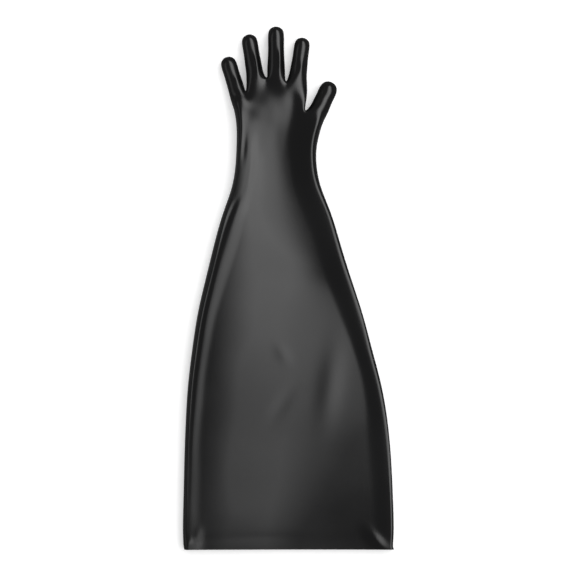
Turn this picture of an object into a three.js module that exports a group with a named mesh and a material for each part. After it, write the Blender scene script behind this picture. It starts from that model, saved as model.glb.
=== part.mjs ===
import * as THREE from 'three';

// An isolator glove: one dipped piece of black rubber, five fingers on a long flared sleeve.
// It lies flat on a table with the fingers towards +Y and the open cuff towards -Y, +Z up, in millimetres.
// The origin is the middle of the glove's outline, on the table.

// Driving dimensions
const gloveLength = 813; // cuff edge to middle fingertip, a 32 in glove
const wall = 1.0; // rubber thickness
const flatBelow = 0.15; // the underside lies on the table wherever it comes this close

// The outline seen from above. along is the distance from the cuff edge, left and right are the two sides.
const outline = [
  { along: 0, left: -161.8, right: 164.2 },
  { along: 5, left: -162.6, right: 162.4 },
  { along: 14, left: -163.3, right: 162.8 },
  { along: 45, left: -163.8, right: 163.0 },
  { along: 123, left: -161.9, right: 160.0 },
  { along: 170, left: -161.0, right: 157.2 },
  { along: 217, left: -158.5, right: 151.8 },
  { along: 263, left: -155.3, right: 143.0 },
  { along: 310, left: -149.6, right: 130.6 },
  { along: 357, left: -142.7, right: 118.2 },
  { along: 403, left: -132.6, right: 103.6 },
  { along: 450, left: -121.4, right: 88.4 },
  { along: 497, left: -109.2, right: 74.4 },
  { along: 528, left: -99.8, right: 64.4 },
  { along: 559, left: -89.0, right: 52.2 },
  { along: 590, left: -82.9, right: 44.8 },
  { along: 621, left: -80.7, right: 43.8 },
  { along: 652, left: -80.5, right: 50.0 },
  { along: 668, left: -81.2, right: 56.0 },
  { along: 682, left: -84.2, right: 62.0 },
];

// Heights above the table of the outline and of the lowest part of the upper wall, and how far in from the
// outline the underside meets the table.
const sections = [
  { along: 0, edge: 5, panel: 19, under: 8 },
  { along: 13, edge: 8, panel: 18.5, under: 11 },
  { along: 30, edge: 10, panel: 18, under: 14 },
  { along: 60, edge: 11, panel: 17.6, under: 15 },
  { along: 150, edge: 11.5, panel: 16.8, under: 16 },
  { along: 230, edge: 12, panel: 16.2, under: 16.5 },
  { along: 300, edge: 12.5, panel: 15.5, under: 17 },
  { along: 340, edge: 12.9, panel: 15, under: 17.2 },
  { along: 388, edge: 13.3, panel: 16.8, under: 17.6 },
  { along: 450, edge: 14, panel: 19.5, under: 18 },
  { along: 540, edge: 16, panel: 22, under: 21 },
  { along: 600, edge: 17, panel: 25, under: 24 },
  { along: 650, edge: 17, panel: 27.8, under: 26 },
  { along: 690, edge: 16, panel: 29.8, under: 26 },
];

// The upper wall falls from the left roll towards the thumb's side: by how much, how far in from the left and
// right outlines it begins and ends (below 0 it would end beyond the outline), and the shares of the way over
// which its slope grows and fades. lift is how far it rises again to the right outline, and reach how far in
// that starts.
const falls = [
  { along: 0, fall: 4.5, begin: 5, end: 143, easeL: 0.35, easeR: 0.3, lift: 2.6, reach: 143 },
  { along: 13, fall: 5.3, begin: 5, end: 143, easeL: 0.35, easeR: 0.3, lift: 3.1, reach: 143 },
  { along: 30, fall: 7, begin: 5, end: 140, easeL: 0.35, easeR: 0.3, lift: 3.7, reach: 140 },
  { along: 60, fall: 9.1, begin: 5, end: 121, easeL: 0.36, easeR: 0.34, lift: 3.4, reach: 121 },
  { along: 110, fall: 10.4, begin: 16, end: 90, easeL: 0.24, easeR: 0.39, lift: 1.6, reach: 90 },
  { along: 170, fall: 12.2, begin: 20, end: 52, easeL: 0.22, easeR: 0.46, lift: 0, reach: 80 },
  { along: 230, fall: 15, begin: 22, end: -31, easeL: 0.18, easeR: 0.55, lift: 0, reach: 80 },
  { along: 300, fall: 18, begin: 22, end: -54, easeL: 0.18, easeR: 0.58, lift: 0, reach: 80 },
  { along: 340, fall: 19.2, begin: 14, end: -45, easeL: 0.27, easeR: 0.62, lift: 0, reach: 80 },
  { along: 388, fall: 17.8, begin: 8, end: 2, easeL: 0.33, easeR: 0.48, lift: 0, reach: 80 },
  { along: 420, fall: 16, begin: 6, end: 38, easeL: 0.42, easeR: 0.32, lift: 0, reach: 80 },
  { along: 450, fall: 15, begin: 9, end: 42, easeL: 0.36, easeR: 0.28, lift: 0, reach: 80 },
  { along: 480, fall: 13.5, begin: 17, end: 44, easeL: 0.32, easeR: 0.42, lift: 0, reach: 80 },
  { along: 540, fall: 11, begin: 22, end: 44, easeL: 0.12, easeR: 0.7, lift: 0, reach: 80 },
  { along: 600, fall: 8, begin: 22, end: 44, easeL: 0.08, easeR: 0.7, lift: 0, reach: 80 },
  { along: 650, fall: 5.5, begin: 22, end: 48, easeL: 0.15, easeR: 0.55, lift: 0, reach: 80 },
  { along: 690, fall: 4.5, begin: 30, end: 55, easeL: 0.3, easeR: 0.5, lift: 0, reach: 80 },
];

// The rolls along the two sides: how far the crest stands over the wall beside it, and how far in from the
// outline the roll's round reaches the crest, width, and its inner slope starts and stops.
const leftRoll = [
  { along: 0, over: 1.4, width: 4.2, start: 4.4, stop: 36 },
  { along: 13, over: 1.4, width: 4.2, start: 4.4, stop: 36 },
  { along: 30, over: 1.1, width: 4.2, start: 4.4, stop: 32 },
  { along: 60, over: 1, width: 4.2, start: 4.4, stop: 28 },
  { along: 110, over: 1.1, width: 4.2, start: 4.6, stop: 28 },
  { along: 170, over: 1.1, width: 4.4, start: 7.2, stop: 27 },
  { along: 230, over: 1.1, width: 4.6, start: 11.5, stop: 28 },
  { along: 300, over: 1, width: 5, start: 13, stop: 29 },
  { along: 370, over: 1.1, width: 6.2, start: 13, stop: 32 },
  { along: 420, over: 1.2, width: 7, start: 13, stop: 36 },
  { along: 480, over: 1.5, width: 7, start: 16, stop: 40 },
  { along: 530, over: 1.8, width: 6.6, start: 15, stop: 38 },
  { along: 560, over: 2, width: 6.2, start: 8, stop: 36 },
  { along: 600, over: 2.8, width: 7, start: 8, stop: 37 },
  { along: 650, over: 2.2, width: 8, start: 10, stop: 32 },
  { along: 690, over: 0.2, width: 12, start: 14, stop: 34 },
];

const rightRoll = [
  { along: 0, over: 1, width: 3, start: 4, stop: 26 },
  { along: 13, over: 1.2, width: 2.8, start: 4, stop: 28 },
  { along: 30, over: 1.5, width: 2.6, start: 4, stop: 30 },
  { along: 60, over: 1.8, width: 2.6, start: 4, stop: 30 },
  { along: 110, over: 1.8, width: 2.6, start: 4, stop: 32 },
  { along: 170, over: 2, width: 3.5, start: 4.5, stop: 34 },
  { along: 230, over: 2.5, width: 4.5, start: 5, stop: 30 },
  { along: 300, over: 3, width: 5.5, start: 6, stop: 29 },
  { along: 370, over: 3, width: 5.8, start: 6.5, stop: 37 },
  { along: 420, over: 2.6, width: 6, start: 6.5, stop: 40 },
  { along: 480, over: 2.6, width: 6, start: 6.5, stop: 42 },
  { along: 530, over: 2.6, width: 6, start: 6.5, stop: 45 },
  { along: 560, over: 3.1, width: 6.5, start: 7, stop: 44 },
  { along: 600, over: 5.4, width: 7, start: 7.5, stop: 42 },
  { along: 650, over: 7.2, width: 8.5, start: 9, stop: 46 },
  { along: 690, over: 4.7, width: 13, start: 13, stop: 52 },
];

// Soft folds and dents in the upper wall. Each is a smooth hump, or a hollow where its height is below 0, as
// long and wide as it says from its middle, and turned from the glove's length towards its thumb side.
const folds = [
  { name: 'right ridge', x: 63.5, along: 245, length: 62, width: 17, turn: 9, height: 1 },
  { name: 'upper wave', x: -11.5, along: 302, length: 16, width: 8.5, turn: -40, height: 0.5 },
  { name: 'middle wave', x: -10, along: 225, length: 30, width: 10, turn: 35, height: -0.3 },
  { name: 'palm dent', x: -42, along: 686, length: 20, width: 9, turn: 100, height: -1.1 },
  { name: 'wrist streak', x: -69, along: 624, length: 22, width: 4.5, turn: 2, height: -0.6 },
  { name: 'left cuff corner', x: -155, along: 10, length: 10, width: 5, turn: 20, height: 1.4 },
  { name: 'left cuff crease', x: -141.5, along: 18, length: 16, width: 5.5, turn: 18, height: 0.7 },
  { name: 'right cuff corner', x: 137.5, along: 15.5, length: 18, width: 7.2, turn: -42, height: 2.2 },
];

// Rings of the net that the rubber is drawn over. drop is how far the ring falls behind at the thumb's side,
// and fan turns its columns from the sleeve's spread, 0, to lines that run into the fingers, 1.
const rings = [
  { along: 0, drop: 0, fan: 0 },
  { along: 5, drop: 0, fan: 0 },
  { along: 16, drop: 0, fan: 0 },
  { along: 42, drop: 0, fan: 0 },
  { along: 88, drop: 0, fan: 0 },
  { along: 143, drop: 0, fan: 0 },
  { along: 199, drop: 0, fan: 0.05 },
  { along: 255, drop: 0, fan: 0.1 },
  { along: 311, drop: 0, fan: 0.2 },
  { along: 367, drop: 0, fan: 0.3 },
  { along: 422, drop: 0, fan: 0.45 },
  { along: 474, drop: 0, fan: 0.6 },
  { along: 520, drop: 0, fan: 0.75 },
  { along: 558, drop: 0, fan: 0.9 },
  { along: 592, drop: 2, fan: 1 },
  { along: 626, drop: 6, fan: 1 },
  { along: 656, drop: 12, fan: 1 },
  { along: 679, drop: 17, fan: 1 },
];
const thumbSide = 0.5; // where across the glove the drop begins

// Columns over the top of a hand ring, from -1 at the left side to 1: webs and finger middles in turn.
const handColumns = [-0.93, -0.81, -0.65, -0.46, -0.27, -0.07, 0.12, 0.33, 0.53, 0.77, 0.935];

// The knuckle line, where the palm parts into four fingers: webs and finger middles in turn. top and bottom
// are the heights of the upper wall and the underside there, and heel that of the upper wall halfway from
// there to the ring where the thumb parts.
const knuckles = [
  { name: 'web0', x: -86.5, along: 704, top: 25.5, bottom: 6, heel: 30 },
  { name: 'little', x: -76.8, along: 708, top: 29, bottom: 1.5, heel: 33 },
  { name: 'web1', x: -66, along: 708.5, top: 26, bottom: 5, heel: 32.4 },
  { name: 'ring', x: -50, along: 719, top: 31.5, bottom: 1, heel: 32.2 },
  { name: 'web2', x: -33.4, along: 729, top: 25.5, bottom: 5.5, heel: 32 },
  { name: 'middle', x: -18.8, along: 727, top: 30.5, bottom: 1, heel: 31.8 },
  { name: 'web3', x: -3.7, along: 723, top: 30, bottom: 5.5, heel: 31.4 },
  { name: 'index', x: 12.2, along: 719, top: 31.5, bottom: 1, heel: 30.6 },
  { name: 'web4', x: 26.2, along: 713, top: 27.5, bottom: 5.5, heel: 28.5 },
];
// The deepest point of each web, and the hand's two sides level with the knuckles.
const webs = [
  { x: -90.6, along: 703, z: 15.0 },
  { x: -65.7, along: 713.2, z: 15.5 },
  { x: -33.4, along: 733.8, z: 16.5 },
  { x: -3.9, along: 727.9, z: 16.5 },
  { x: 29.4, along: 715, z: 15.5 },
];
const thumbWeb = { x: 26.0, along: 682, z: 16.0 };

// Each finger is a round tube from its base to the centre of its round tip, where it comes down on the table.
const fingers = [
  { tip: [-92.5, 754.1, 12.2], radius: 12.2, base: [-78.6, 709, 15.2], baseRadius: 13.0 },
  { tip: [-60.1, 788.9, 13.0], radius: 12.1, base: [-49.5, 724, 17.0], baseRadius: 14.9 },
  { tip: [-19.1, gloveLength - 12.1, 13.4], radius: 12.2, base: [-18.9, 730, 17.0], baseRadius: 14.9 },
  { tip: [21.3, 783.9, 12.8], radius: 11.9, base: [12.9, 722, 16.8], baseRadius: 15.6 },
];
const thumb = { tip: [61.8, 713.8, 14.2], radius: 13.8, base: [44.0, 676, 17.5], baseRadius: 15.2 };
const tubeRings = [0.22, 0.47, 0.73, 1]; // shares of the way from a finger's base to the centre of its tip
const tubeSides = 8;
const domeTurn = Math.PI / 4; // the one ring on a fingertip's dome, between its rim and its pole

// The value of one column of a table at a place along the glove, on a smooth curve through the table's rows.
function valueAt(table, column, along) {
  let i = 0;
  while (i < table.length - 2 && along > table[i + 1].along) i += 1;
  const [p, q] = [table[i], table[i + 1]];
  const [before, after] = [table[Math.max(i - 1, 0)], table[Math.min(i + 2, table.length - 1)]];
  const span = q.along - p.along;
  const slopeP = (q[column] - before[column]) / (q.along - before.along);
  const slopeQ = (after[column] - p[column]) / (after.along - p.along);
  const t = (along - p.along) / span;
  const [t2, t3] = [t * t, t * t * t];
  return (2 * t3 - 3 * t2 + 1) * p[column] + (t3 - 2 * t2 + t) * span * slopeP
    + (3 * t2 - 2 * t3) * q[column] + (t3 - t2) * span * slopeQ;
}

// How far a quarter round has risen, from 0 to 1, at a distance in from its foot.
function rise(distance, radius) {
  return Math.sqrt(1 - (1 - Math.min(distance / radius, 1)) ** 2);
}

// From 0 to 1 as t does: the slope grows over the share start, stays, and fades over the share stop.
function glide(t, start, stop) {
  const slope = 1 / (1 - (start + stop) / 2);
  if (t < start) return (slope * t * t) / (2 * start);
  if (t > 1 - stop) return 1 - (slope * (1 - t) ** 2) / (2 * stop);
  return slope * (t - start / 2);
}

// The left and the right side at a place along the glove: where the outline runs, and its roll.
function sidesAt(along) {
  return [['left', leftRoll], ['right', rightRoll]].map(([side, roll]) => ({
    x: valueAt(outline, side, along),
    over: valueAt(roll, 'over', along),
    width: valueAt(roll, 'width', along),
    start: valueAt(roll, 'start', along),
    stop: valueAt(roll, 'stop', along),
  }));
}

// The height of the panel between the rolls at each place across the sleeve.
function panelOf(left, right, along) {
  const panel = valueAt(sections, 'panel', along);
  const names = ['fall', 'begin', 'end', 'easeL', 'easeR', 'lift', 'reach'];
  const [fall, begin, end, easeL, easeR, lift, reach] = names.map((name) => valueAt(falls, name, along));
  return (x) => {
    const share = THREE.MathUtils.clamp((x - left.x - begin) / (right.x - end - left.x - begin), 0, 1);
    const rising = Math.max(0, 1 - (right.x - x) / reach);
    return panel + fall * (1 - glide(share, easeL, easeR)) + lift * rising ** 2;
  };
}

// The height of the sleeve's and palm's upper wall: a panel that falls to the right, between the two rolls. A
// roll goes up in a quarter round, runs level to where its slope starts, and eases down to the panel.
function upperWall(x, along) {
  const [left, right] = sidesAt(along);
  const edge = valueAt(sections, 'edge', along);
  const panelAt = panelOf(left, right, along);
  let z = panelAt(x);
  const sides = [[left, x - left.x, left.x + left.width], [right, right.x - x, right.x - right.width]];
  for (const [roll, distance, crestX] of sides) {
    const inward = Math.max(0, distance);
    const crest = panelAt(crestX) + roll.over;
    if (inward < roll.width) z = edge + (crest - edge) * rise(inward, roll.width);
    else z += roll.over * (1 - THREE.MathUtils.smoothstep(inward, roll.start, roll.stop));
  }
  return z;
}

// The upper wall's columns across the sleeve: each roll's crest and foot, and an even spread between them.
function sleeveColumns(left, right) {
  const [footL, footR] = [left.x + left.stop, right.x - right.stop];
  const spread = handColumns.slice(2).map((_, i, all) => footL + ((footR - footL) * i) / (all.length - 1));
  return [left.x + left.width, ...spread, right.x - right.width];
}

// A point of the sleeve or palm, over the top or along the underside. s runs across it from -1 to 1, and
// column is the number of its column, if it has one.
function bodyPoint(ring, s, column, onTop) {
  const drop = ring.drop * Math.pow(Math.max(0, (s - thumbSide) / (1 - thumbSide)), 1.5);
  const along = ring.along - drop;
  const [left, right] = sidesAt(along);
  const handX = (left.x + right.x) / 2 + (s * (right.x - left.x)) / 2;
  const sleeveX = column === null ? handX : sleeveColumns(left, right)[column];
  const x = THREE.MathUtils.lerp(sleeveX, handX, ring.fan);
  const [edge, under] = ['edge', 'under'].map((name) => valueAt(sections, name, along));
  const inward = Math.max(0, Math.min(x - left.x, right.x - x));
  const z = onTop ? upperWall(x, along) : edge * (1 - rise(inward, under));
  return new THREE.Vector3(x, along, z);
}

// The net: points that the finished surface passes through, and four-sided faces that face outwards.
const net = { points: [], faces: [] };
const addPoint = (point) => net.points.push(point) - 1;

// Joins two closed rings with the same number of points by a band of faces.
function addBand(ring, next) {
  ring.forEach((point, i) => {
    const j = (i + 1) % ring.length;
    net.faces.push([point, ring[j], next[j], next[i]]);
  });
}

// One ring of the body: its left side, the top from left to right, its right side and the underside back.
function addBodyRing(ring) {
  return [
    addPoint(bodyPoint(ring, -1, null, true)),
    ...handColumns.map((s, column) => addPoint(bodyPoint(ring, s, column, true))),
    addPoint(bodyPoint(ring, 1, null, true)),
    ...handColumns.map((s, column) => addPoint(bodyPoint(ring, s, column, false))).toReversed(),
  ];
}

// A finger from its first ring, already in the net, to the pole of its domed tip.
function addFinger(firstRing, finger) {
  const base = new THREE.Vector3(...finger.base);
  const tip = new THREE.Vector3(...finger.tip);
  const forward = tip.clone().sub(base).normalize();
  const right = new THREE.Vector3().crossVectors(forward, new THREE.Vector3(0, 0, 1)).normalize();
  const up = new THREE.Vector3().crossVectors(right, forward);
  const addRing = (centre, radius) => Array.from({ length: tubeSides }, (_, i) => {
    const turn = Math.PI - (i * 2 * Math.PI) / tubeSides;
    const sideways = right.clone().multiplyScalar(radius * Math.cos(turn));
    return addPoint(sideways.addScaledVector(up, radius * Math.sin(turn)).add(centre));
  });
  let last = firstRing;
  for (const share of tubeRings) {
    const radius = finger.radius + (finger.baseRadius - finger.radius) * (1 - share) ** 2;
    const next = addRing(base.clone().lerp(tip, share), radius);
    addBand(last, next);
    last = next;
  }
  const domeCentre = tip.clone().addScaledVector(forward, finger.radius * Math.sin(domeTurn));
  const dome = addRing(domeCentre, finger.radius * Math.cos(domeTurn));
  addBand(last, dome);
  const pole = addPoint(tip.clone().addScaledVector(forward, finger.radius));
  for (let i = 0; i < tubeSides; i += 2) {
    net.faces.push([dome[i], dome[i + 1], dome[(i + 2) % tubeSides], pole]);
  }
}

// The sleeve, wrist and lower palm, up to the ring where the thumb parts from the hand.
const columnCount = handColumns.length;
const bodyRings = rings.map(addBodyRing);
bodyRings.slice(1).forEach((ring, i) => addBand(bodyRings[i], ring));

// The thumb takes the last two columns on each side, and the palm goes on with the rest.
const parting = bodyRings.at(-1);
const partingRight = columnCount + 1;
const thumbWebPoint = addPoint(new THREE.Vector3(thumbWeb.x, thumbWeb.along, thumbWeb.z));
const thumbRing = [thumbWebPoint, ...parting.slice(columnCount - 2, partingRight + 4)];
const palmStart = [...parting.slice(0, columnCount - 1), thumbWebPoint, ...parting.slice(partingRight + 3)];
addFinger(thumbRing, thumb);

// The knuckle ring: left side, tops, right side and undersides, with a ring halfway to it over the palm.
const webPoints = webs.map(({ x, along, z }) => addPoint(new THREE.Vector3(x, along, z)));
const tops = knuckles.map(({ x, along, top }) => addPoint(new THREE.Vector3(x, along, top)));
const undersides = knuckles.map(({ x, along, bottom }) => addPoint(new THREE.Vector3(x, along, bottom)));
const knuckleRing = [webPoints[0], ...tops, webPoints.at(-1), ...undersides.toReversed()];
const palmMiddle = palmStart.map((point, i) => {
  const halfway = net.points[point].clone().lerp(net.points[knuckleRing[i]], 0.5);
  if (i > 0 && i <= knuckles.length) halfway.z = knuckles[i - 1].heel;
  return addPoint(halfway);
});
addBand(palmStart, palmMiddle);
addBand(palmMiddle, knuckleRing);

fingers.forEach((finger, i) => {
  const [left, middle, right] = [2 * i, 2 * i + 1, 2 * i + 2];
  addFinger([
    webPoints[i], tops[left], tops[middle], tops[right],
    webPoints[i + 1], undersides[right], undersides[middle], undersides[left],
  ], finger);
});

// The edges of a mesh, each with the one or two faces that meet there.
function edgesOf(faces) {
  const edges = new Map();
  faces.forEach((face, f) => face.forEach((a, i) => {
    const b = face[(i + 1) % 4];
    const key = a < b ? `${a} ${b}` : `${b} ${a}`;
    if (!edges.has(key)) edges.set(key, { a, b, faces: [] });
    edges.get(key).faces.push(f);
  }));
  return edges;
}

// Where the points of a four-sided mesh come to lie on the smooth surface that endless division would give.
function limitOf(points, faces, edges) {
  const sums = points.map(() => (
    { count: 0, sides: new THREE.Vector3(), corners: new THREE.Vector3(), rim: [] }
  ));
  for (const { a, b, faces: beside } of edges.values()) {
    sums[a].sides.add(points[b]);
    sums[b].sides.add(points[a]);
    if (beside.length === 1) {
      sums[a].rim.push(points[b]);
      sums[b].rim.push(points[a]);
    }
  }
  for (const face of faces) {
    face.forEach((point, i) => {
      sums[point].count += 1;
      sums[point].corners.add(points[face[(i + 2) % 4]]);
    });
  }
  return points.map((point, i) => {
    const { count, sides, corners, rim } = sums[i];
    if (rim.length) return rim[0].clone().add(rim[1]).addScaledVector(point, 4).divideScalar(6);
    return point.clone().multiplyScalar(count * count)
      .addScaledVector(sides, 4)
      .add(corners)
      .divideScalar(count * (count + 5));
  });
}

// Moves the net's points out until its smooth surface passes through where they were put.
function aim({ points, faces }, rounds) {
  const edges = edgesOf(faces);
  let aimed = points.map((point) => point.clone());
  for (let round = 0; round < rounds; round += 1) {
    const limit = limitOf(aimed, faces, edges);
    aimed = aimed.map((point, i) => point.clone().add(points[i]).sub(limit[i]));
  }
  return { points: aimed, faces };
}

// Divides each face in four, by the usual rule for smooth surfaces from a net.
function divide({ points, faces }) {
  const edges = edgesOf(faces);
  const middles = faces.map((face) => (
    face.reduce((sum, point) => sum.add(points[point]), new THREE.Vector3()).divideScalar(4)
  ));
  const sums = points.map(() => (
    { count: 0, faces: new THREE.Vector3(), sides: new THREE.Vector3(), rim: [] }
  ));
  const made = points.map(() => null);
  middles.forEach((middle) => made.push(middle));
  faces.forEach((face, f) => face.forEach((point) => {
    sums[point].count += 1;
    sums[point].faces.add(middles[f]);
  }));
  for (const edge of edges.values()) {
    const half = points[edge.a].clone().add(points[edge.b]).divideScalar(2);
    for (const end of [edge.a, edge.b]) {
      sums[end].sides.add(half);
      if (edge.faces.length === 1) sums[end].rim.push(half);
    }
    edge.index = made.length;
    const [one, other] = edge.faces.map((face) => middles[face]);
    made.push(other ? one.clone().lerp(other, 0.5).lerp(half, 0.5) : half);
  }
  points.forEach((point, i) => {
    const { count, faces: near, sides, rim } = sums[i];
    if (rim.length) {
      made[i] = rim[0].clone().add(rim[1]).addScaledVector(point, 2).divideScalar(4);
      return;
    }
    made[i] = near.clone().divideScalar(count)
      .addScaledVector(sides, 2 / count)
      .addScaledVector(point, count - 3)
      .divideScalar(count);
  });
  const index = (a, b) => edges.get(a < b ? `${a} ${b}` : `${b} ${a}`).index;
  const quarters = faces.flatMap((face, f) => face.map((point, i) => (
    [point, index(point, face[(i + 1) % 4]), points.length + f, index(point, face[(i + 3) % 4])]
  )));
  return { points: made, faces: quarters };
}

// The sum of the folds over one place of the upper wall.
function foldHeight(x, along) {
  return folds.reduce((sum, fold) => {
    const turn = THREE.MathUtils.degToRad(fold.turn);
    const [dx, dy] = [x - fold.x, along - fold.along];
    const lengthwise = (dx * Math.sin(turn) + dy * Math.cos(turn)) / fold.length;
    const sideways = (dx * Math.cos(turn) - dy * Math.sin(turn)) / fold.width;
    return sum + fold.height * Math.exp(-(lengthwise ** 2) - sideways ** 2);
  }, 0);
}

// The way each point of a skin faces, from the faces round it.
function normalsOf({ points, faces }) {
  const normals = points.map(() => new THREE.Vector3());
  for (const face of faces) {
    const [a, b, c, d] = face.map((point) => points[point]);
    const normal = new THREE.Vector3().crossVectors(c.clone().sub(a), d.clone().sub(b));
    face.forEach((point) => normals[point].add(normal));
  }
  return normals.map((normal) => normal.normalize());
}

// How far a point over the table belongs to the sleeve's upper wall between the two crests, from 0 to 1.
function sleeveShare(x, along) {
  const [left, right] = sidesAt(along);
  const inside = Math.min(x - left.x - left.width, right.x - right.width - x);
  const { smoothstep } = THREE.MathUtils;
  return smoothstep(inside, -2.5, 0) * (1 - smoothstep(along, 600, 650));
}

// The outer skin: the net divided once and laid on its smooth surface, with the sleeve's upper wall exactly
// as given, its folds, and flat on the table.
function outerSkin() {
  const divided = divide(aim(net, 12));
  const { faces } = divided;
  const points = limitOf(divided.points, faces, edgesOf(faces));
  normalsOf({ points, faces }).forEach((normal, i) => {
    const point = points[i];
    const along = Math.max(0, point.y);
    const upward = THREE.MathUtils.smoothstep(normal.z, 0.3, 0.9);
    point.z += upward * sleeveShare(point.x, along) * (upperWall(point.x, along) - point.z);
    point.z += upward * foldHeight(point.x, along);
    if (point.z < flatBelow) point.z = 0;
  });
  return { points, faces };
}

// A wall of even thickness under a skin that is open at the cuff, closed there by the cut edge of the rubber.
function wallGeometry({ points, faces }) {
  const normals = normalsOf({ points, faces });
  const open = [...edgesOf(faces).values()].filter((edge) => edge.faces.length === 1);
  for (const { a, b } of open) {
    normals[a].y = 0;
    normals[b].y = 0;
  }
  const inner = points.map((point, i) => point.clone().addScaledVector(normals[i].normalize(), -wall));
  const all = [...points, ...inner];
  const triangles = [];
  const addFace = (a, b, c, d) => {
    if (all[a].distanceToSquared(all[c]) < all[b].distanceToSquared(all[d])) triangles.push(a, b, c, a, c, d);
    else triangles.push(a, b, d, b, c, d);
  };
  const inside = points.length;
  for (const [a, b, c, d] of faces) {
    addFace(a, b, c, d);
    addFace(inside + d, inside + c, inside + b, inside + a);
  }
  for (const edge of open) {
    const face = faces[edge.faces[0]];
    const forward = face[(face.indexOf(edge.a) + 1) % 4] === edge.b;
    const [a, b] = forward ? [edge.a, edge.b] : [edge.b, edge.a];
    addFace(b, a, inside + a, inside + b);
  }
  const geometry = new THREE.BufferGeometry();
  const positions = all.flatMap((point) => point.toArray());
  geometry.setAttribute('position', new THREE.Float32BufferAttribute(positions, 3));
  geometry.setIndex(triangles);
  return geometry;
}

const rubber = new THREE.MeshStandardMaterial({ color: 0x1b1b1c, roughness: 0.42, metalness: 0 });
const geometry = wallGeometry(outerSkin());
geometry.computeBoundingBox();
const middle = geometry.boundingBox.getCenter(new THREE.Vector3());
geometry.computeVertexNormals();

const glove = new THREE.Mesh(geometry, rubber);
glove.name = 'glove';
glove.position.set(-middle.x, -middle.y, 0);

const group = new THREE.Group();
group.add(glove);

export default group;
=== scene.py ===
import math

import bpy
import numpy as np
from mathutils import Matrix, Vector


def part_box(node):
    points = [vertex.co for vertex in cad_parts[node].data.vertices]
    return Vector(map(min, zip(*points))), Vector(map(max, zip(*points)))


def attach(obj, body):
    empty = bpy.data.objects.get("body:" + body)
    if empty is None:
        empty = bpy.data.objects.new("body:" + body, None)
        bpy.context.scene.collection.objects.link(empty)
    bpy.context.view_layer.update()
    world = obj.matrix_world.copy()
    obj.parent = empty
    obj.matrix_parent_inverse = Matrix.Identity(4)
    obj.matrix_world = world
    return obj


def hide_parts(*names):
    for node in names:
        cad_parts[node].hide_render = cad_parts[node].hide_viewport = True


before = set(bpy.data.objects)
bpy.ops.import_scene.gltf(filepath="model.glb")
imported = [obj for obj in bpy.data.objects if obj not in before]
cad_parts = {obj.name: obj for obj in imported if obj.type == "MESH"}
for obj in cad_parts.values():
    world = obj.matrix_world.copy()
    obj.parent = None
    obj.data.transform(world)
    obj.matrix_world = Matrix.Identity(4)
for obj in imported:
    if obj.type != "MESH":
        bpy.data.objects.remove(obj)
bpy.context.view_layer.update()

cuffLow, tipHigh = (np.array(corner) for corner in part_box("glove"))
print("frame loaded, glove", np.round(tipHigh - cuffLow, 4), "m")


def table(columns, rows):
    # rows of numbers as one array for each named column
    return dict(zip(columns.split(), np.array(rows, float).T))


# Everything is in metres. along is the distance from the cuff edge towards the middle fingertip, x is across
# the glove with the thumb on the + side, and heights are above the table.
glove = {
    "wall": 0.0010,              # rubber thickness
    "flatBelow": 0.00015,        # the underside lies on the table wherever it comes this close
    "levels": 3,                 # how often the net is divided
    "aimRounds": 12,             # how often the net is corrected so that its surface meets the table rows
    "facesUp": (0.3, 0.9),       # upward part of a normal where the upper wall begins and is whole
    "crestBlend": 0.0025,        # the exact upper wall begins this far outside the rolls' crests
    "exactUntil": (0.600, 0.650),    # where along the glove it begins to fade and is gone
}

# The two sides of the outline, seen from above.
outline = table("along left right", [
    (0.000, -0.1618, 0.1642),
    (0.005, -0.1626, 0.1624),
    (0.014, -0.1633, 0.1628),
    (0.045, -0.1638, 0.1630),
    (0.123, -0.1619, 0.1600),
    (0.170, -0.1610, 0.1572),
    (0.217, -0.1585, 0.1518),
    (0.263, -0.1553, 0.1430),
    (0.310, -0.1496, 0.1306),
    (0.357, -0.1427, 0.1182),
    (0.403, -0.1326, 0.1036),
    (0.450, -0.1214, 0.0884),
    (0.497, -0.1092, 0.0744),
    (0.528, -0.0998, 0.0644),
    (0.559, -0.0890, 0.0522),
    (0.590, -0.0829, 0.0448),
    (0.621, -0.0807, 0.0438),
    (0.652, -0.0805, 0.0500),
    (0.668, -0.0812, 0.0560),
    (0.682, -0.0842, 0.0620),
])

# Heights of the outline and of the lowest part of the upper wall, and how far in the underside meets the
# table.
sections = table("along edge panel under", [
    (0.000, 0.0050, 0.0190, 0.008),
    (0.013, 0.0080, 0.0185, 0.011),
    (0.030, 0.0100, 0.0180, 0.014),
    (0.060, 0.0110, 0.0176, 0.015),
    (0.150, 0.0115, 0.0168, 0.016),
    (0.230, 0.0120, 0.0162, 0.0165),
    (0.300, 0.0125, 0.0155, 0.017),
    (0.340, 0.0129, 0.0150, 0.0172),
    (0.388, 0.0133, 0.0168, 0.0176),
    (0.450, 0.0140, 0.0195, 0.018),
    (0.540, 0.0160, 0.0220, 0.021),
    (0.600, 0.0170, 0.0250, 0.024),
    (0.650, 0.0170, 0.0278, 0.026),
    (0.690, 0.0160, 0.0298, 0.026),
])

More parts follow.
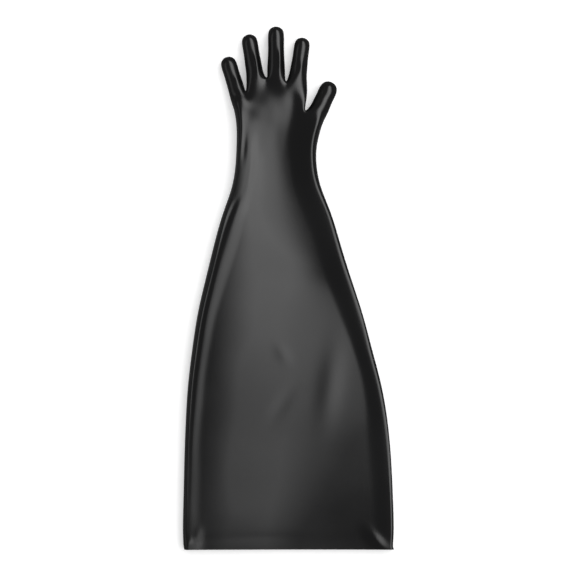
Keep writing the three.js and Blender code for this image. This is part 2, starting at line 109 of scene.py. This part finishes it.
# The upper wall falls from the left roll towards the thumb's side: by how much, how far in from the left and
# right outlines it begins and ends (below 0 it would end beyond the outline), and the shares of the way over
# which its slope grows and fades. lift is how far it rises again to the right outline, and reach how far in
# it starts to.
falls = table("along fall begin end easeL easeR lift reach", [
    (0.000, 0.0045, 0.005, 0.143, 0.35, 0.30, 0.0026, 0.143),
    (0.013, 0.0053, 0.005, 0.143, 0.35, 0.30, 0.0031, 0.143),
    (0.030, 0.0070, 0.005, 0.140, 0.35, 0.30, 0.0037, 0.140),
    (0.060, 0.0091, 0.005, 0.121, 0.36, 0.34, 0.0034, 0.121),
    (0.110, 0.0104, 0.016, 0.090, 0.24, 0.39, 0.0016, 0.090),
    (0.170, 0.0122, 0.020, 0.052, 0.22, 0.46, 0.0000, 0.080),
    (0.230, 0.0150, 0.022, -0.031, 0.18, 0.55, 0.0000, 0.080),
    (0.300, 0.0180, 0.022, -0.054, 0.18, 0.58, 0.0000, 0.080),
    (0.340, 0.0192, 0.014, -0.045, 0.27, 0.62, 0.0000, 0.080),
    (0.388, 0.0178, 0.008, 0.002, 0.33, 0.48, 0.0000, 0.080),
    (0.420, 0.0160, 0.006, 0.038, 0.42, 0.32, 0.0000, 0.080),
    (0.450, 0.0150, 0.009, 0.042, 0.36, 0.28, 0.0000, 0.080),
    (0.480, 0.0135, 0.017, 0.044, 0.32, 0.42, 0.0000, 0.080),
    (0.540, 0.0110, 0.022, 0.044, 0.12, 0.70, 0.0000, 0.080),
    (0.600, 0.0080, 0.022, 0.044, 0.08, 0.70, 0.0000, 0.080),
    (0.650, 0.0055, 0.022, 0.048, 0.15, 0.55, 0.0000, 0.080),
    (0.690, 0.0045, 0.030, 0.055, 0.30, 0.50, 0.0000, 0.080),
])

# The rolls along the left and right sides: how far the crest stands over the wall beside it, and how far in
# from the outline the roll's round reaches its crest, and its inner slope starts and stops.
rolls = table("along overL widthL startL stopL overR widthR startR stopR", [
    (0.000, 0.0014, 0.0042, 0.0044, 0.036, 0.0010, 0.0022, 0.0040, 0.026),
    (0.013, 0.0014, 0.0042, 0.0044, 0.036, 0.0012, 0.0021, 0.0040, 0.028),
    (0.030, 0.0011, 0.0042, 0.0044, 0.032, 0.0015, 0.0020, 0.0040, 0.030),
    (0.060, 0.0010, 0.0042, 0.0044, 0.028, 0.0018, 0.0020, 0.0040, 0.030),
    (0.110, 0.0011, 0.0042, 0.0046, 0.028, 0.0018, 0.0022, 0.0040, 0.032),
    (0.170, 0.0011, 0.0044, 0.0072, 0.027, 0.0020, 0.0035, 0.0045, 0.034),
    (0.230, 0.0011, 0.0046, 0.0115, 0.028, 0.0025, 0.0045, 0.0050, 0.030),
    (0.300, 0.0010, 0.0046, 0.0130, 0.029, 0.0030, 0.0055, 0.0060, 0.029),
    (0.370, 0.0011, 0.0048, 0.0130, 0.032, 0.0030, 0.0058, 0.0065, 0.037),
    (0.420, 0.0012, 0.0056, 0.0130, 0.036, 0.0026, 0.0060, 0.0065, 0.040),
    (0.480, 0.0015, 0.0064, 0.0165, 0.040, 0.0026, 0.0060, 0.0065, 0.042),
    (0.530, 0.0018, 0.0066, 0.0165, 0.038, 0.0026, 0.0060, 0.0065, 0.045),
    (0.560, 0.0020, 0.0062, 0.0080, 0.036, 0.0031, 0.0076, 0.0080, 0.044),
    (0.600, 0.0028, 0.0070, 0.0080, 0.037, 0.0054, 0.0080, 0.0085, 0.042),
    (0.650, 0.0022, 0.0080, 0.0100, 0.032, 0.0072, 0.0085, 0.0090, 0.046),
    (0.690, 0.0002, 0.0120, 0.0140, 0.034, 0.0047, 0.0130, 0.0130, 0.052),
])

# A shallow groove beside the left roll: how far in from the left outline it runs, its depth and its half
# width.
groove = table("along inset depth half", [
    (0.000, 0.0070, 0.0000, 0.0020),
    (0.110, 0.0078, 0.0002, 0.0020),
    (0.170, 0.0082, 0.0003, 0.0020),
    (0.230, 0.0086, 0.0005, 0.0021),
    (0.300, 0.0092, 0.0007, 0.0022),
    (0.400, 0.0098, 0.0008, 0.0024),
    (0.450, 0.0104, 0.0008, 0.0028),
    (0.500, 0.0112, 0.0008, 0.0034),
    (0.520, 0.0125, 0.0009, 0.0038),
    (0.535, 0.0145, 0.0006, 0.0040),
    (0.552, 0.0165, 0.0000, 0.0040),
    (0.600, 0.0165, 0.0000, 0.0040),
])

# Rings of the net. drop is how far a ring falls behind at the thumb's side, and fan turns its columns from
# the sleeve's spread, 0, to lines that run into the fingers, 1.
rings = table("along drop fan", [
    (0.000, 0.000, 0.00),
    (0.005, 0.000, 0.00),
    (0.016, 0.000, 0.00),
    (0.042, 0.000, 0.00),
    (0.088, 0.000, 0.00),
    (0.143, 0.000, 0.00),
    (0.199, 0.000, 0.05),
    (0.255, 0.000, 0.10),
    (0.311, 0.000, 0.20),
    (0.367, 0.000, 0.30),
    (0.422, 0.000, 0.45),
    (0.474, 0.000, 0.60),
    (0.520, 0.000, 0.75),
    (0.558, 0.000, 0.90),
    (0.592, 0.002, 1.00),
    (0.626, 0.006, 1.00),
    (0.656, 0.012, 1.00),
    (0.679, 0.017, 1.00),
])

# Where the net's columns run across the palm, from -1 at the left side to 1 at the right.
handColumns = np.array([-0.93, -0.81, -0.65, -0.46, -0.27, -0.07, 0.12, 0.33, 0.53, 0.77, 0.935])
thumbSide = 0.5          # where across the glove a ring's drop begins
dropPower = 1.5          # the drop grows by this power of the way from there to the right side

# The knuckle line: webs and finger middles in turn, with the heights of the upper wall and the underside
# there, and of the upper wall half way back to the palm.
knuckles = table("x along top bottom heel", [
    (-0.0865, 0.7040, 0.0255, 0.0060, 0.0300),
    (-0.0768, 0.7080, 0.0290, 0.0015, 0.0344),
    (-0.0660, 0.7085, 0.0283, 0.0050, 0.0336),
    (-0.0500, 0.7190, 0.0310, 0.0010, 0.0322),
    (-0.0334, 0.7290, 0.0275, 0.0055, 0.0313),
    (-0.0188, 0.7270, 0.0305, 0.0010, 0.0308),
    (-0.0037, 0.7230, 0.0302, 0.0055, 0.0301),
    (0.0110, 0.7190, 0.0309, 0.0010, 0.0291),
    (0.0255, 0.7130, 0.0268, 0.0055, 0.0286),
])
webs = np.array([      # the deepest point of each web, and the hand's two sides level with the knuckles
    (-0.0906, 0.7030, 0.0150),
    (-0.0657, 0.7132, 0.0155),
    (-0.0334, 0.7338, 0.0165),
    (-0.0039, 0.7279, 0.0165),
    (0.0294, 0.7150, 0.0155),
])
thumbWeb = np.array([(0.0260, 0.6820, 0.0160)])

# Each finger is a round tube from its base to the centre of its round tip.
fingers = [
    {"tip": (-0.0925, 0.7541, 0.0122), "radius": 0.0122,
     "base": (-0.0786, 0.7090, 0.0152), "baseRadius": 0.0130},
    {"tip": (-0.0601, 0.7889, 0.0130), "radius": 0.0121,
     "base": (-0.0495, 0.7240, 0.0170), "baseRadius": 0.0149},
    {"tip": (-0.0191, 0.8009, 0.0134), "radius": 0.0122,
     "base": (-0.0189, 0.7300, 0.0170), "baseRadius": 0.0149},
    {"tip": (0.0213, 0.7839, 0.0128), "radius": 0.0119,
     "base": (0.0129, 0.7220, 0.0168), "baseRadius": 0.0156},
]
thumb = {"tip": (0.0618, 0.7138, 0.0142), "radius": 0.0138,
         "base": (0.0440, 0.6760, 0.0175), "baseRadius": 0.0152}

# Where a finger's rings stand as shares of the way to its tip, and how far round its dome has a ring.
tube = {"rings": (0.22, 0.47, 0.73, 1.0), "sides": 8, "domeTurn": math.pi / 4}

# Soft folds and dents in the upper wall: smooth humps, or hollows where the height is below 0, as long and
# wide as they say from their middle, turned from the glove's length towards the thumb by turn degrees.
folds = table("x along length width turn height", [
    (0.0650, 0.2580, 0.0580, 0.0170, 9, 0.0009),      # right ridge
    (-0.0085, 0.3040, 0.0150, 0.0085, -40, 0.0004),   # upper wave
    (-0.0100, 0.2250, 0.0300, 0.0100, 35, -0.0003),   # middle wave
    (-0.0200, 0.6730, 0.0190, 0.0160, 0, 0.0009),     # palm hump
    (-0.0735, 0.6760, 0.0220, 0.0090, -4, 0.0010),    # palm's left ridge
    (-0.0690, 0.6240, 0.0220, 0.0045, 2, -0.0006),    # wrist streak
    (-0.1550, 0.0100, 0.0100, 0.0050, 20, 0.0014),    # left cuff corner
    (-0.1415, 0.0180, 0.0160, 0.0055, 18, 0.0007),    # left cuff crease
    (0.1360, 0.0160, 0.0180, 0.0084, -42, 0.0028),    # right cuff corner
    (-0.0060, 0.0155, 0.0900, 0.0105, 90, -0.0010),   # cuff lip
    (-0.0782, 0.7270, 0.0090, 0.0040, -18, 0.0015),   # little finger's wrinkle
    (-0.0482, 0.7540, 0.0170, 0.0042, -9, 0.0032),    # ring finger's wrinkle
    (-0.0122, 0.7580, 0.0180, 0.0040, 0, 0.0032),     # middle finger's wrinkle
    (0.0208, 0.7490, 0.0090, 0.0040, 6, 0.0014),      # index finger's wrinkle
])


def curveThrough(rows, column, along):
    # a smooth curve through a table's rows: cubic pieces whose slope at a row is its neighbours' chord
    a, y = rows["along"], rows[column]
    chord = np.empty_like(y)
    chord[1:-1] = (y[2:] - y[:-2]) / (a[2:] - a[:-2])
    chord[0], chord[-1] = (y[1] - y[0]) / (a[1] - a[0]), (y[-1] - y[-2]) / (a[-1] - a[-2])
    i = np.clip(np.searchsorted(a, along, side="left") - 1, 0, len(a) - 2)
    span = a[i + 1] - a[i]
    t = (along - a[i]) / span
    return ((2 * t**3 - 3 * t**2 + 1) * y[i] + (t**3 - 2 * t**2 + t) * span * chord[i]
            + (3 * t**2 - 2 * t**3) * y[i + 1] + (t**3 - t**2) * span * chord[i + 1])


def smoothStep(value, low, high):
    # 0 below low, 1 above high, and 3t^2 - 2t^3 between
    t = np.clip((value - low) / (high - low), 0, 1)
    return t * t * (3 - 2 * t)


def glide(t, start, stop):
    # from 0 to 1 as t does: its slope grows over the share start, stays, and fades over the share stop
    slope = 1 / (1 - (start + stop) / 2)
    growing = slope * t**2 / (2 * start)
    fading = 1 - slope * (1 - t) ** 2 / (2 * stop)
    return np.select([t < start, t > 1 - stop], [growing, fading], slope * (t - start / 2))


def rise(distance, radius):
    # a quarter round: the square root of 1 - (1 - distance / radius)^2, up to 1
    return np.sqrt(1 - (1 - np.minimum(distance / radius, 1)) ** 2)


def curves(rows, names, along):
    # several of a table's curves at once
    return [curveThrough(rows, name, along) for name in names.split()]


def upperWall(x, along):
    # the panel's height, falling to the right, with a roll along each side. A roll goes up in a quarter
    # round, runs level from there to where its slope starts, and eases down to the panel.
    left, right = curves(outline, "left right", along)
    edge, panel = curves(sections, "edge panel", along)
    fall, begin, end, easeL, easeR = curves(falls, "fall begin end easeL easeR", along)
    lift, reach = curves(falls, "lift reach", along)
    over, width, start, stop = (dict(zip("LR", curves(rolls, f"{name}L {name}R", along)))
                                for name in ("over", "width", "start", "stop"))

    def panelAt(x):
        # the fall, and the lift as the squared share of the reach
        share = np.clip((x - left - begin) / (right - end - left - begin), 0, 1)
        lifted = lift * np.maximum(0, 1 - (right - x) / reach) ** 2
        return panel + fall * (1 - glide(share, easeL, easeR)) + lifted

    z = level = panelAt(x)
    for side, inward, crestX in (("L", x - left, left + width["L"]), ("R", right - x, right - width["R"])):
        inward = np.maximum(0, inward)
        crest = panelAt(crestX) + over[side]
        up = edge + (crest - edge) * rise(inward, width[side]) - level
        down = over[side] * (1 - smoothStep(inward, start[side], stop[side]))
        z = z + np.where(inward < width[side], up, down)
    return z


def bodyWall(across, columns, onTop):
    # one wall of the sleeve and palm as a grid: a row for each ring and a column for each place across it.
    # On the sleeve the columns keep to the rolls' crests and feet, on the palm to their share of the width.
    back = rings["drop"][:, None] * np.maximum(0, (across - thumbSide) / (1 - thumbSide)) ** dropPower
    along = rings["along"][:, None] - back
    left, right = curves(outline, "left right", along)
    edge, under = curves(sections, "edge under", along)
    widthL, widthR, stopL, stopR = curves(rolls, "widthL widthR stopL stopR", along)
    handX = (left + right) / 2 + across * (right - left) / 2
    footL, footR = left + stopL, right - stopR
    columns = columns + 0 * along
    last = len(handColumns) - 1
    sleeveX = np.select([columns < 0, columns > last, columns == 0, columns == last],
                        [left, right, left + widthL, right - widthR],
                        footL + (footR - footL) * (columns - 1) / (last - 2))
    x = sleeveX + (handX - sleeveX) * rings["fan"][:, None]
    if onTop:
        z = upperWall(x, along)
    else:
        z = edge * (1 - rise(np.maximum(0, np.minimum(x - left, right - x)), under))
    return np.stack([x, along, z], 2)


class Net:
    # points that the finished surface passes through, and four-sided faces that face outwards
    def __init__(self):
        self.points, self.faces, self.count = [], [], 0

    def add(self, points):
        points = np.asarray(points, float).reshape(-1, 3)
        self.points.append(points)
        self.count += len(points)
        return np.arange(self.count - len(points), self.count)

    def at(self, index):
        return np.concatenate(self.points)[index]

    def band(self, ring, following):
        # joins two closed rings with the same number of points
        self.faces.append(np.stack([ring, np.roll(ring, -1), np.roll(following, -1), following], 1))


def addFinger(net, ring, finger):
    # a round tube carried along a straight line from base to tip, its radius easing from baseRadius to
    # radius, closed by a dome: one ring at domeTurn and a pole
    base, tip = np.array(finger["base"]), np.array(finger["tip"])
    forward = (tip - base) / np.linalg.norm(tip - base)
    right = np.cross(forward, (0, 0, 1))
    right /= np.linalg.norm(right)
    up = np.cross(right, forward)
    turn = math.pi - np.arange(tube["sides"]) * 2 * math.pi / tube["sides"]
    circle = np.cos(turn)[:, None] * right + np.sin(turn)[:, None] * up
    for share in tube["rings"]:
        radius = finger["radius"] + (finger["baseRadius"] - finger["radius"]) * (1 - share) ** 2
        following = net.add(base + (tip - base) * share + radius * circle)
        net.band(ring, following)
        ring = following
    dome = net.add(tip + finger["radius"] * (math.sin(tube["domeTurn"]) * forward
                                             + math.cos(tube["domeTurn"]) * circle))
    net.band(ring, dome)
    pole = net.add(tip + finger["radius"] * forward)
    corner = np.arange(0, tube["sides"], 2)
    net.faces.append(np.stack([dome[corner], dome[corner + 1], dome[(corner + 2) % tube["sides"]],
                               np.repeat(pole, len(corner))], 1))


def gloveNet():
    # the whole glove: sleeve and palm as rings, then the thumb and the four fingers branching off them
    net = Net()
    count = len(handColumns)
    places = np.concatenate([[-1], handColumns, [1]])
    top = bodyWall(places, np.arange(-1, count + 1), True)
    underside = bodyWall(handColumns[::-1], np.arange(count)[::-1], False)
    grid = np.concatenate([top, underside], 1)
    body = net.add(grid).reshape(grid.shape[:2])
    for ring, following in zip(body[:-1], body[1:]):
        net.band(ring, following)

    parting, right = body[-1], count + 1        # the thumb takes the last two columns on each side
    webPoint = net.add(thumbWeb)
    addFinger(net, np.concatenate([webPoint, parting[count - 2:right + 4]]), thumb)
    palm = np.concatenate([parting[:count - 1], webPoint, parting[right + 3:]])

    web = net.add(webs)
    tops = net.add(np.stack([knuckles["x"], knuckles["along"], knuckles["top"]], 1))
    bottoms = net.add(np.stack([knuckles["x"], knuckles["along"], knuckles["bottom"]], 1))
    knuckleRing = np.concatenate([web[:1], tops, web[-1:], bottoms[::-1]])
    halfway = (net.at(palm) + net.at(knuckleRing)) / 2
    halfway[1:len(tops) + 1, 2] = knuckles["heel"]
    palmMiddle = net.add(halfway)
    net.band(palm, palmMiddle)
    net.band(palmMiddle, knuckleRing)
    for i, finger in enumerate(fingers):
        ring = np.concatenate([web[i:i + 1], tops[2 * i:2 * i + 3], web[i + 1:i + 2],
                               bottoms[2 * i:2 * i + 3][::-1]])
        addFinger(net, ring, finger)
    return np.concatenate(net.points), np.concatenate(net.faces)


def edgesOf(faces):
    # each edge once, the edge on each side of each face, and whether it has a face on one side only
    pairs = np.sort(np.stack([faces, np.roll(faces, -1, 1)], 2).reshape(-1, 2), 1)
    edges, which, uses = np.unique(pairs, axis=0, return_inverse=True, return_counts=True)
    return edges, which.reshape(-1, 4), uses == 1


def gather(values, index, count):
    # the sum of the values that go to each index
    total = np.zeros((count, values.shape[1]))
    np.add.at(total, index, values)
    return total


def limitOf(points, faces):
    # where endless division carries each point. With n faces round it that is n^2 of itself, 4 of each
    # neighbour along an edge and 1 of each across a face, over n (n + 5). On the rim it is 4 of itself and 1
    # of each neighbour, over 6.
    edges, _, rim = edgesOf(faces)
    n = np.bincount(faces.ravel(), minlength=len(points))[:, None]
    sides = gather(np.concatenate([points[edges[:, 1]], points[edges[:, 0]]]), edges.T.ravel(), len(points))
    corners = gather(points[np.roll(faces, -2, 1)].reshape(-1, 3), faces.ravel(), len(points))
    limit = (n**2 * points + 4 * sides + corners) / (n * (n + 5))
    rimEdges = edges[rim]
    farEnds = np.concatenate([points[rimEdges[:, 1]], points[rimEdges[:, 0]]])
    beside = gather(farEnds, rimEdges.T.ravel(), len(points))
    onRim = np.unique(rimEdges)
    limit[onRim] = (4 * points[onRim] + beside[onRim]) / 6
    return limit


def aim(points, faces):
    # moves the net's points out until its surface passes through where they were put
    aimed = points.copy()
    for _ in range(glove["aimRounds"]):
        aimed = aimed + points - limitOf(aimed, faces)
    return aimed


def divide(points, faces):
    # cuts each face in four. A face's middle is the mean of its corners, an edge's that of its ends and of
    # the face middles beside it. A corner with n faces goes to the mean of their middles, twice that of its
    # edges' middles and n - 3 times itself, over n. On the rim only the rim's own points count.
    edges, side, rim = edgesOf(faces)
    middles = points[faces].mean(1)
    halves = points[edges].mean(1)
    acrossEdge = gather(np.repeat(middles, 4, 0), side.ravel(), len(edges)) / 2
    onEdges = np.where(rim[:, None], halves, (halves + acrossEdge) / 2)
    n = np.bincount(faces.ravel(), minlength=len(points))[:, None]
    near = gather(np.repeat(middles, 4, 0), faces.ravel(), len(points)) / n
    sides = gather(np.concatenate([halves, halves]), edges.T.ravel(), len(points)) / n
    moved = (near + 2 * sides + (n - 3) * points) / n
    rimEdges = edges[rim]
    beside = gather(np.concatenate([halves[rim], halves[rim]]), rimEdges.T.ravel(), len(points))
    onRim = np.unique(rimEdges)
    moved[onRim] = (2 * points[onRim] + beside[onRim]) / 4
    edgeStart = len(points)
    middleStart = edgeStart + len(edges)
    middle = middleStart + np.arange(len(faces))
    quarters = np.stack([faces, edgeStart + side, np.repeat(middle[:, None], 4, 1),
                         edgeStart + np.roll(side, 1, 1)], 2)
    return np.concatenate([moved, onEdges, middles]), quarters.reshape(-1, 4)


def normalsOf(points, faces):
    # the mean of the faces round each point, each as the cross product of its diagonals
    a, b, c, d = (points[faces[:, i]] for i in range(4))
    normal = gather(np.repeat(np.cross(c - a, d - b), 4, 0), faces.ravel(), len(points))
    return normal / np.linalg.norm(normal, axis=1)[:, None]


def foldHeight(x, along):
    # the sum of the folds: height times e to the minus squared distance, measured in lengths and widths
    turn = np.radians(folds["turn"])
    dx, dy = x[:, None] - folds["x"], along[:, None] - folds["along"]
    lengthwise = (dx * np.sin(turn) + dy * np.cos(turn)) / folds["length"]
    sideways = (dx * np.cos(turn) - dy * np.sin(turn)) / folds["width"]
    return (folds["height"] * np.exp(-lengthwise**2 - sideways**2)).sum(1)


def grooveDepth(x, along):
    # the depth times e to the minus squared distance from the groove's line, measured in half widths
    inset, depth, half = curves(groove, "inset depth half", along)
    away = x - curveThrough(outline, "left", along) - inset
    return np.where(along < groove["along"][-1], depth, 0) * np.exp(-(away / half) ** 2)


def outerSkin():
    # the net divided and laid on its smooth surface, with the exact upper wall of the sleeve between the
    # rolls' crests, its folds, and flat on the table
    points, faces = gloveNet()
    points = aim(points, faces)
    for _ in range(glove["levels"]):
        points, faces = divide(points, faces)
    points = limitOf(points, faces)
    upward = smoothStep(normalsOf(points, faces)[:, 2], *glove["facesUp"])
    x, along = points[:, 0], np.maximum(points[:, 1], 0)
    inL = x - curveThrough(outline, "left", along) - curveThrough(rolls, "widthL", along)
    inR = curveThrough(outline, "right", along) - x - curveThrough(rolls, "widthR", along)
    sleeve = smoothStep(np.minimum(inL, inR), -glove["crestBlend"], 0)
    sleeve *= 1 - smoothStep(along, *glove["exactUntil"])
    points[:, 2] += upward * sleeve * (upperWall(x, along) - points[:, 2])
    points[:, 2] += upward * (foldHeight(x, along) - grooveDepth(x, along))
    points[points[:, 2] < glove["flatBelow"], 2] = 0
    return points, faces


def shell(points, faces):
    # the rubber wall: the outer skin, the same skin set in by the wall's thickness, and the cut edge between
    # them
    normals = normalsOf(points, faces)
    edges, side, rim = edgesOf(faces)
    onRim = np.unique(edges[rim])
    normals[onRim, 1] = 0
    normals[onRim] /= np.linalg.norm(normals[onRim], axis=1)[:, None]
    inner = points - glove["wall"] * normals
    face, corner = np.nonzero(rim[side])
    a, b = faces[face, corner], faces[face, (corner + 1) % 4]
    cut = np.stack([b, a, a + len(points), b + len(points)], 1)
    return np.concatenate([points, inner]), np.concatenate([faces, faces[:, ::-1] + len(points), cut]), cut


def meshFrom(name, points, faces, sharp=()):
    # one mesh object at the origin, smooth, with the given pairs of points as sharp edges
    mesh = bpy.data.meshes.new(name)
    mesh.from_pydata(points.tolist(), [], faces.tolist())
    mesh.shade_smooth()
    if len(sharp):
        ends = np.empty(len(mesh.edges) * 2, np.int32)
        mesh.edges.foreach_get("vertices", ends)
        key = np.sort(ends.reshape(-1, 2), 1) @ (1, len(points))
        wanted = np.sort(np.asarray(sharp), 1) @ (1, len(points))
        mark = mesh.attributes.new("sharp_edge", "BOOLEAN", "EDGE")
        mark.data.foreach_set("value", np.isin(key, wanted))
    piece = bpy.data.objects.new(name, mesh)
    bpy.context.collection.objects.link(piece)
    return piece


def makeGlove():
    # the finished shell, centred on the CAD model's box
    points, faces, cut = shell(*outerSkin())
    low, high = points.min(0), points.max(0)
    points[:, 0] -= (low[0] + high[0]) / 2 - (cuffLow[0] + tipHigh[0]) / 2
    points[:, 1] -= (low[1] + high[1]) / 2 - (cuffLow[1] + tipHigh[1]) / 2
    piece = meshFrom("rubberGlove", points, faces, np.concatenate([cut[:, :2], cut[:, 2:]]))
    print("glove made,", len(faces), "faces, size", np.round(high - low, 4))
    return piece


# Black dipped rubber, satin, with a faint skin texture and slightly uneven gloss.
rubber = {
    "colour": (0.0042, 0.0042, 0.0044, 1),
    "ior": 1.5,
    "roughness": 0.20,
    "roughnessSpread": 0.03,
    "bloomScale": 9,             # cloudy patches for each metre
    "bloomDetail": 4,
    "bloomRange": (0.3, 0.7),    # the part of the cloud pattern that the spread covers
    "skinScale": 900,
    "skinDetail": 2,
    "skinBump": 0.00002,         # metres
}


def rubberMaterial():
    material = bpy.data.materials.new("blackRubber")
    material.use_nodes = True
    nodes, links = material.node_tree.nodes, material.node_tree.links
    shader = nodes["Principled BSDF"]
    shader.inputs["Base Color"].default_value = rubber["colour"]
    shader.inputs["IOR"].default_value = rubber["ior"]
    place = nodes.new("ShaderNodeTexCoord")
    cloud = nodes.new("ShaderNodeTexNoise")
    cloud.inputs["Scale"].default_value = rubber["bloomScale"]
    cloud.inputs["Detail"].default_value = rubber["bloomDetail"]
    links.new(place.outputs["Object"], cloud.inputs["Vector"])
    gloss = nodes.new("ShaderNodeMapRange")
    gloss.inputs["From Min"].default_value = rubber["bloomRange"][0]
    gloss.inputs["From Max"].default_value = rubber["bloomRange"][1]
    gloss.inputs["To Min"].default_value = rubber["roughness"] - rubber["roughnessSpread"]
    gloss.inputs["To Max"].default_value = rubber["roughness"] + rubber["roughnessSpread"]
    links.new(cloud.outputs["Fac"], gloss.inputs["Value"])
    links.new(gloss.outputs["Result"], shader.inputs["Roughness"])
    skin = nodes.new("ShaderNodeTexNoise")
    skin.inputs["Scale"].default_value = rubber["skinScale"]
    skin.inputs["Detail"].default_value = rubber["skinDetail"]
    links.new(place.outputs["Object"], skin.inputs["Vector"])
    bump = nodes.new("ShaderNodeBump")
    bump.inputs["Distance"].default_value = rubber["skinBump"]
    links.new(skin.outputs["Fac"], bump.inputs["Height"])
    links.new(bump.outputs["Normal"], shader.inputs["Normal"])
    return material


# The table top, white enough to fade into the picture's edge, and a hair below the glove.
tableTop = {
    "size": 12.0,
    "colour": (0.92, 0.92, 0.92, 1),
    "roughness": 0.9,
    "glow": 0.35,
    "drop": 0.0002,
}

# The studio light: strips of one large soft box, far enough off to be seen alike from the whole glove.
# across and along are the directions, in degrees from straight overhead, that each one fills on the glove's
# thumb side and finger side. A fill light is left out of reflections.
lampHeight = 10.0
lamps = [
    {"name": "upperEdge", "across": (4, 8), "along": (8, 55), "radiance": 0.8},
    {"name": "upperInner", "across": (8, 14), "along": (8, 55), "radiance": 2.1},
    {"name": "upperMiddle", "across": (14, 22), "along": (8, 55), "radiance": 3.1},
    {"name": "upperBox", "across": (22, 44), "along": (8, 55), "radiance": 3.3},
    {"name": "upperOuter", "across": (44, 54), "along": (8, 50), "radiance": 1.6},
    {"name": "lowerEdge", "across": (3, 6), "along": (-14, 8), "radiance": 0.6},
    {"name": "lowerInner", "across": (6, 10), "along": (-14, 8), "radiance": 1.4},
    {"name": "lowerMiddle", "across": (10, 22), "along": (-14, 8), "radiance": 2.3},
    {"name": "lowerBox", "across": (22, 44), "along": (-14, 8), "radiance": 3.2},
    {"name": "lowerOuter", "across": (44, 54), "along": (-14, 8), "radiance": 1.0},
    {"name": "lowest", "across": (5, 45), "along": (-25, -14), "radiance": 0.9},
    {"name": "leftWall", "across": (-72, -45), "along": (-40, 40), "radiance": 0.45},
    {"name": "roomFill", "across": (-50, 50), "along": (-50, 50), "radiance": 0.7, "fill": True},
]
world = {"colour": (0.13, 0.13, 0.13, 1)}


def makeFloor():
    half = tableTop["size"] / 2
    corners = np.array([(-half, -half, 0), (half, -half, 0), (half, half, 0), (-half, half, 0)])
    floor = meshFrom("tableTop", corners - (0, 0, tableTop["drop"]), np.array([[0, 1, 2, 3]]))
    material = bpy.data.materials.new("paleTable")
    material.use_nodes = True
    shader = material.node_tree.nodes["Principled BSDF"]
    shader.inputs["Base Color"].default_value = tableTop["colour"]
    shader.inputs["Roughness"].default_value = tableTop["roughness"]
    shader.inputs["Specular IOR Level"].default_value = 0
    shader.inputs["Emission Color"].default_value = (1, 1, 1, 1)
    shader.inputs["Emission Strength"].default_value = tableTop["glow"]
    floor.data.materials.append(material)
    floor.visible_glossy = False


def makeLamp(lamp):
    # a flat rectangle overhead, facing down. Its watts are its radiance times its area times pi
    x0, x1 = (lampHeight * math.tan(math.radians(angle)) for angle in lamp["across"])
    y0, y1 = (lampHeight * math.tan(math.radians(angle)) for angle in lamp["along"])
    data = bpy.data.lights.new(lamp["name"], "AREA")
    data.shape = "RECTANGLE"
    data.size, data.size_y = x1 - x0, y1 - y0
    data.energy = lamp["radiance"] * data.size * data.size_y * math.pi
    light = bpy.data.objects.new(lamp["name"], data)
    light.location = ((x0 + x1) / 2, (y0 + y1) / 2, lampHeight)
    light.visible_glossy = not lamp.get("fill", False)
    bpy.context.collection.objects.link(light)


# The camera looks straight down with the fingers up in the picture. A picture of so many pixels shows the
# plane at planeHeight at so many metres to the pixel.
camera = {
    "x": -0.0008,
    "y": -0.0002,
    "distance": 4.0,
    "planeHeight": 0.012,
    "pixel": 0.001556,
    "pixels": 576,
    "sensor": 36,            # millimetres
}


def makeCamera():
    data = bpy.data.cameras.new("camera")
    data.sensor_width = camera["sensor"]
    data.lens = camera["sensor"] * camera["distance"] / (camera["pixel"] * camera["pixels"])
    eye = bpy.data.objects.new("camera", data)
    eye.location = (camera["x"], camera["y"], camera["distance"] + camera["planeHeight"])
    bpy.context.collection.objects.link(eye)
    bpy.context.scene.camera = eye


glovePiece = makeGlove()
glovePiece.data.materials.append(rubberMaterial())
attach(glovePiece, "root")
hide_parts("glove")

makeFloor()
for lamp in lamps:
    makeLamp(lamp)
studio = bpy.data.worlds.new("studio")
studio.use_nodes = True
studio.node_tree.nodes["Background"].inputs["Color"].default_value = world["colour"]
bpy.context.scene.world = studio
makeCamera()
bpy.context.scene.view_settings.view_transform = "Standard"
print("table, light and camera set")
